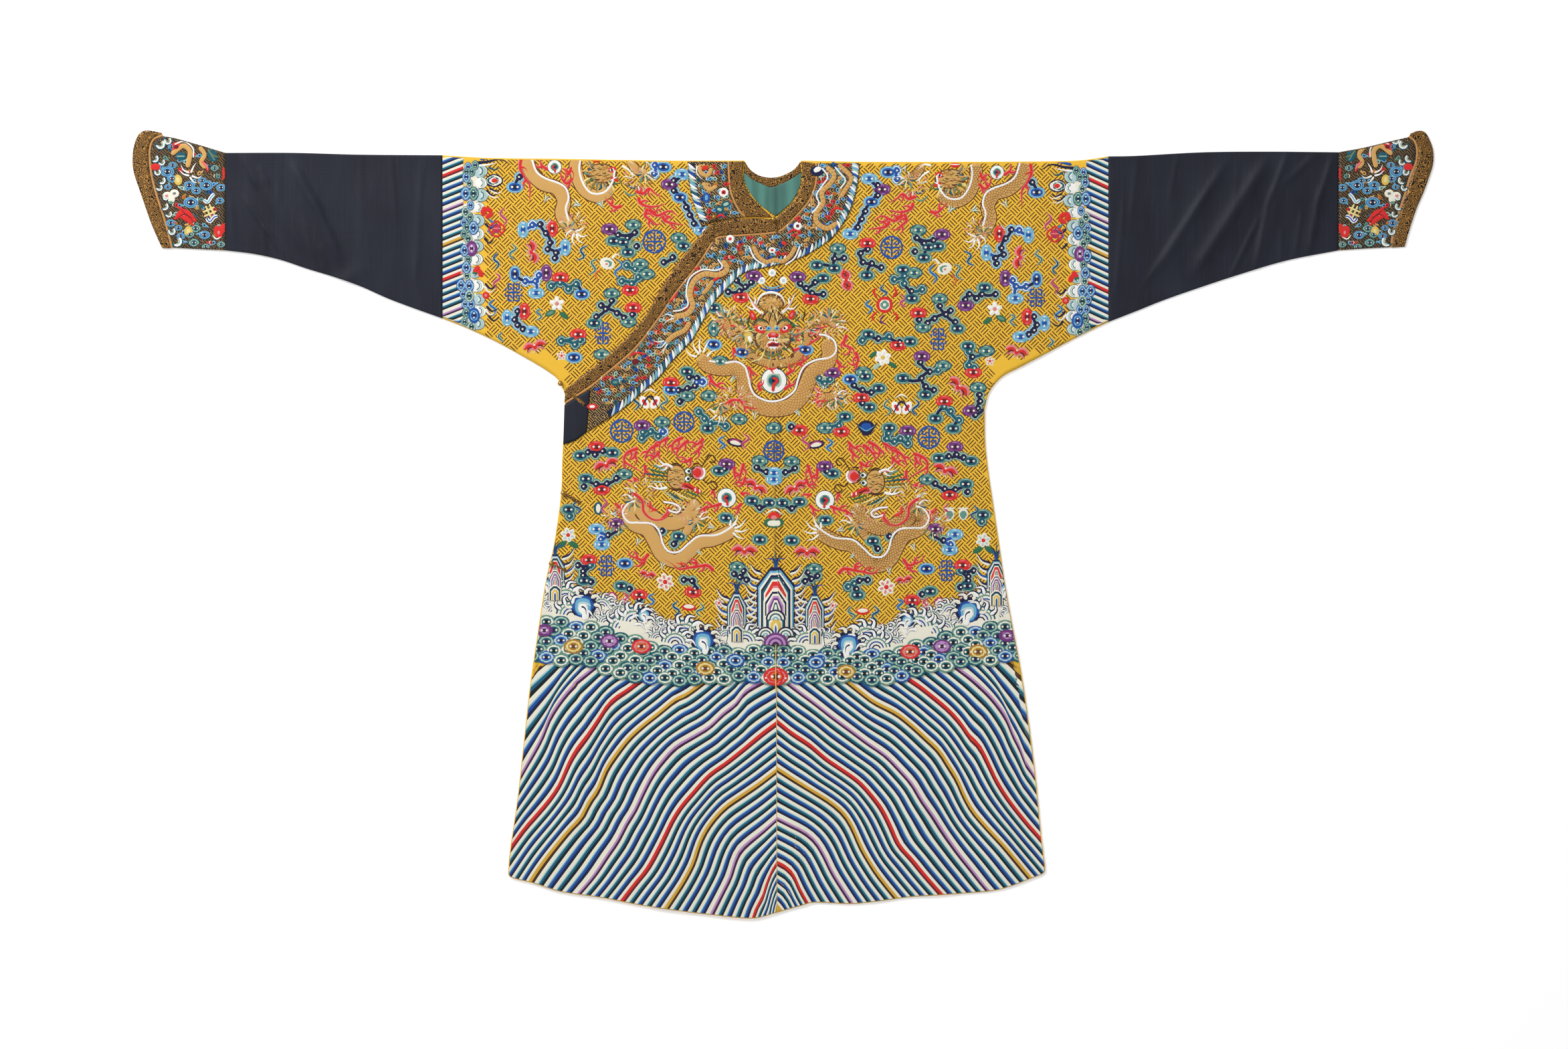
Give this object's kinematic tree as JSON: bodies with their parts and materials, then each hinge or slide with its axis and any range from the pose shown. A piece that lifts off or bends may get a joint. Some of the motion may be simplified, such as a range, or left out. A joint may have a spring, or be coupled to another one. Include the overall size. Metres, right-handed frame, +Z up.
{
  "type": "east asian dragon robe laid flat",
  "caption": "Long side-fastening silk court robe with horse-hoof cuffs and wave-striped hem, laid flat front up on a surface.",
  "frame": {"origin": "on the surface the robe lies on, under the middle of its laid-out box", "axes": "+X to the wearer's left sleeve, +Y toward the collar, +Z up from the surface, front of the robe up"},
  "size_m": [2.1986, 1.3308, 0.0158],
  "materials": {
    "yellow_silk": "golden yellow silk with a brown key-fret lattice, embroidered all over",
    "navy_silk": "plain navy ribbed silk, soft sheen",
    "dark_brocade": "brown-black ground embroidered in gold, blue, white and red",
    "gold_brocade": "brown and gold brocade",
    "orange_piping": "orange-brown silk cord",
    "turquoise_lining": "turquoise silk lining",
    "gilt_brass": "gilt ball button"
  },
  "bodies": {
    "root": {"left_half": "yellow_silk", "right_half": "yellow_silk", "right_overlap": "yellow_silk", "left_sleeve": "navy_silk", "right_sleeve": "navy_silk", "left_cuff": "dark_brocade", "right_cuff": "dark_brocade", "collar_band": "dark_brocade", "inner_collar_band": "dark_brocade", "left_cuff_binding": "gold_brocade", "right_cuff_binding": "gold_brocade", "neck_binding": "gold_brocade", "inner_neck_binding": "gold_brocade", "overlap_binding": "gold_brocade", "back_neck_facing": "gold_brocade", "left_cuff_piping": "orange_piping", "right_cuff_piping": "orange_piping", "neck_piping": "orange_piping", "inner_neck_piping": "orange_piping", "overlap_piping": "orange_piping", "side_facing": "navy_silk", "neck_lining": "turquoise_lining", "button_neck": "gilt_brass", "loop_neck": "gold_brocade", "button_corner": "gilt_brass", "loop_corner": "gold_brocade", "button_underarm": "gilt_brass", "loop_underarm": "gold_brocade", "button_side_upper": "gilt_brass", "loop_side_upper": "gold_brocade", "button_side_lower": "gilt_brass", "loop_side_lower": "gold_brocade"}
  },
  "joints": []
}
